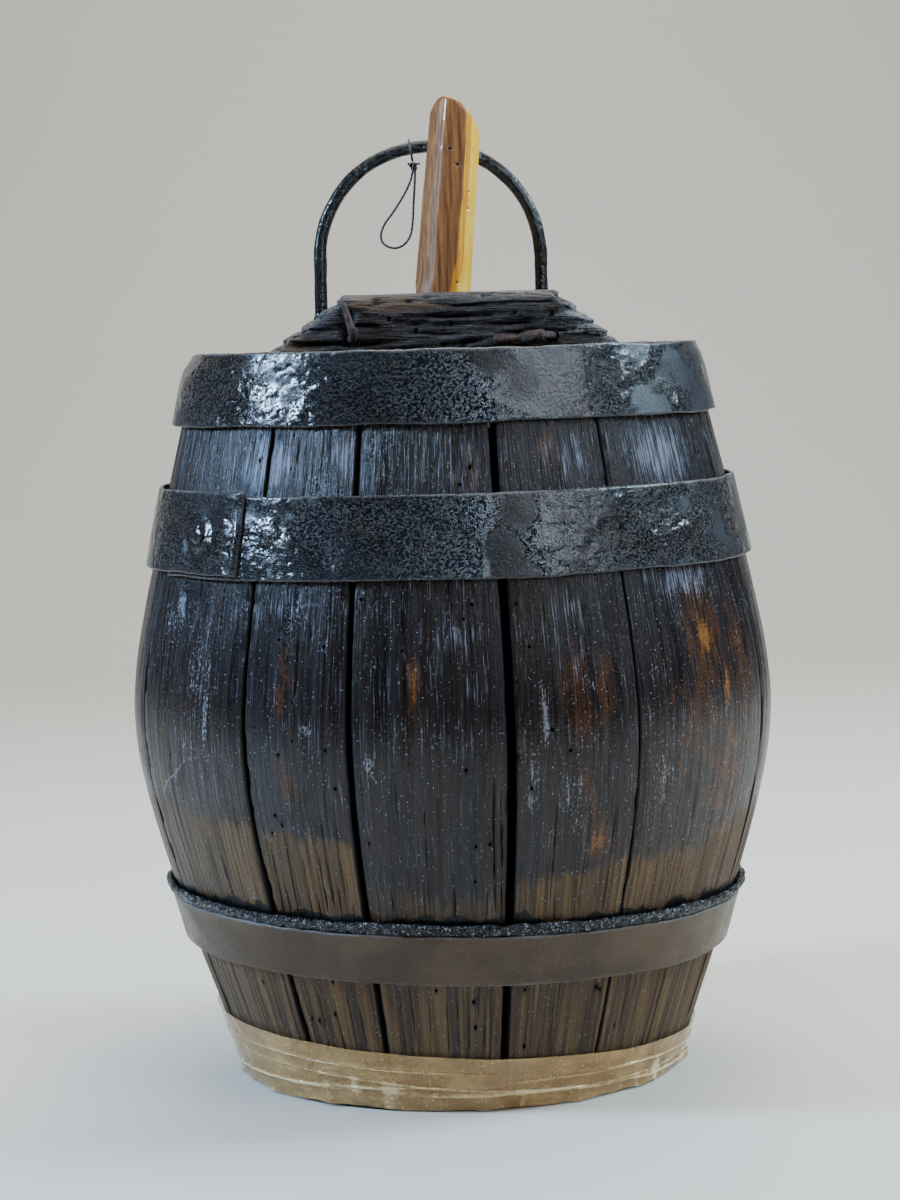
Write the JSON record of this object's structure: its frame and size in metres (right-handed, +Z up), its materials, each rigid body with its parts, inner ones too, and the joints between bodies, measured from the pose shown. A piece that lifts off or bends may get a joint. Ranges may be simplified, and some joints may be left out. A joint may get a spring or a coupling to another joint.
{
  "type": "oak wine barrel",
  "caption": "Small upright oak wine barrel with iron hoops, a carrying block with a fixed rod handle across the top head, and a long wooden stopper that pulls out.",
  "frame": {"origin": "centre of the base, on the cask's axis, in the plane that the staves stand on", "axes": "+Z up along the cask's axis, front towards -Y, +X along the carrying block, the way the stopper leans"},
  "size_m": [0.3004, 0.3005, 0.4513],
  "materials": {
    "oak": "dark varnish, worn",
    "head_oak": "bare",
    "weathered_oak": "weathered",
    "varnished_wood": "glossy varnish",
    "painted_iron": "pitted black paint",
    "rusty_iron": "rusted",
    "pitch": "glossy",
    "film": "wrinkled clear film",
    "cord_fibre": "rough"
  },
  "bodies": {
    "cask": {"stave_01": "oak", "stave_02": "oak", "stave_03": "oak", "stave_04": "oak", "stave_05": "oak", "stave_06": "oak", "stave_07": "oak", "stave_08": "oak", "stave_09": "oak", "stave_10": "oak", "stave_11": "oak", "stave_12": "oak", "stave_13": "oak", "top_head_left": "head_oak", "top_head_middle": "head_oak", "top_head_right": "head_oak", "bottom_head_left": "head_oak", "bottom_head_middle": "head_oak", "bottom_head_right": "head_oak", "top_head_dowel_left_front": "head_oak", "top_head_dowel_left_back": "head_oak", "top_head_dowel_right_front": "head_oak", "top_head_dowel_right_back": "head_oak", "bottom_head_dowel_left_front": "head_oak", "bottom_head_dowel_left_back": "head_oak", "bottom_head_dowel_right_front": "head_oak", "bottom_head_dowel_right_back": "head_oak", "top_hoop": "painted_iron", "upper_hoop": "painted_iron", "lower_hoop": "painted_iron", "top_hoop_rivet": "rusty_iron", "upper_hoop_rivet": "rusty_iron", "lower_hoop_rivet": "rusty_iron", "pitch_bead": "pitch", "tape_wrap": "film", "carrying_block": "weathered_oak", "handle": "rusty_iron", "handle_nail_left": "rusty_iron", "handle_nail_right": "rusty_iron", "block_end_nail_left": "rusty_iron", "block_end_nail_right": "rusty_iron"},
    "stopper": {"stopper": "varnished_wood"},
    "cord": {"cord_turn": "cord_fibre", "cord_knot": "cord_fibre", "cord_loop": "cord_fibre"}
  },
  "joints": [
    {"name": "stopper_pull", "type": "slide", "parent": "cask", "child": "stopper", "axis": [0.1011, 0, 0.9949], "range_m": [0, 0.08]},
    {"name": "cord_swing", "type": "hinge", "parent": "cask", "child": "cord", "pos_m": [-0.0125, 0.014, 0.4294], "axis": [0.9884, 0, 0.1519], "range_deg": [-35, 35]}
  ]
}
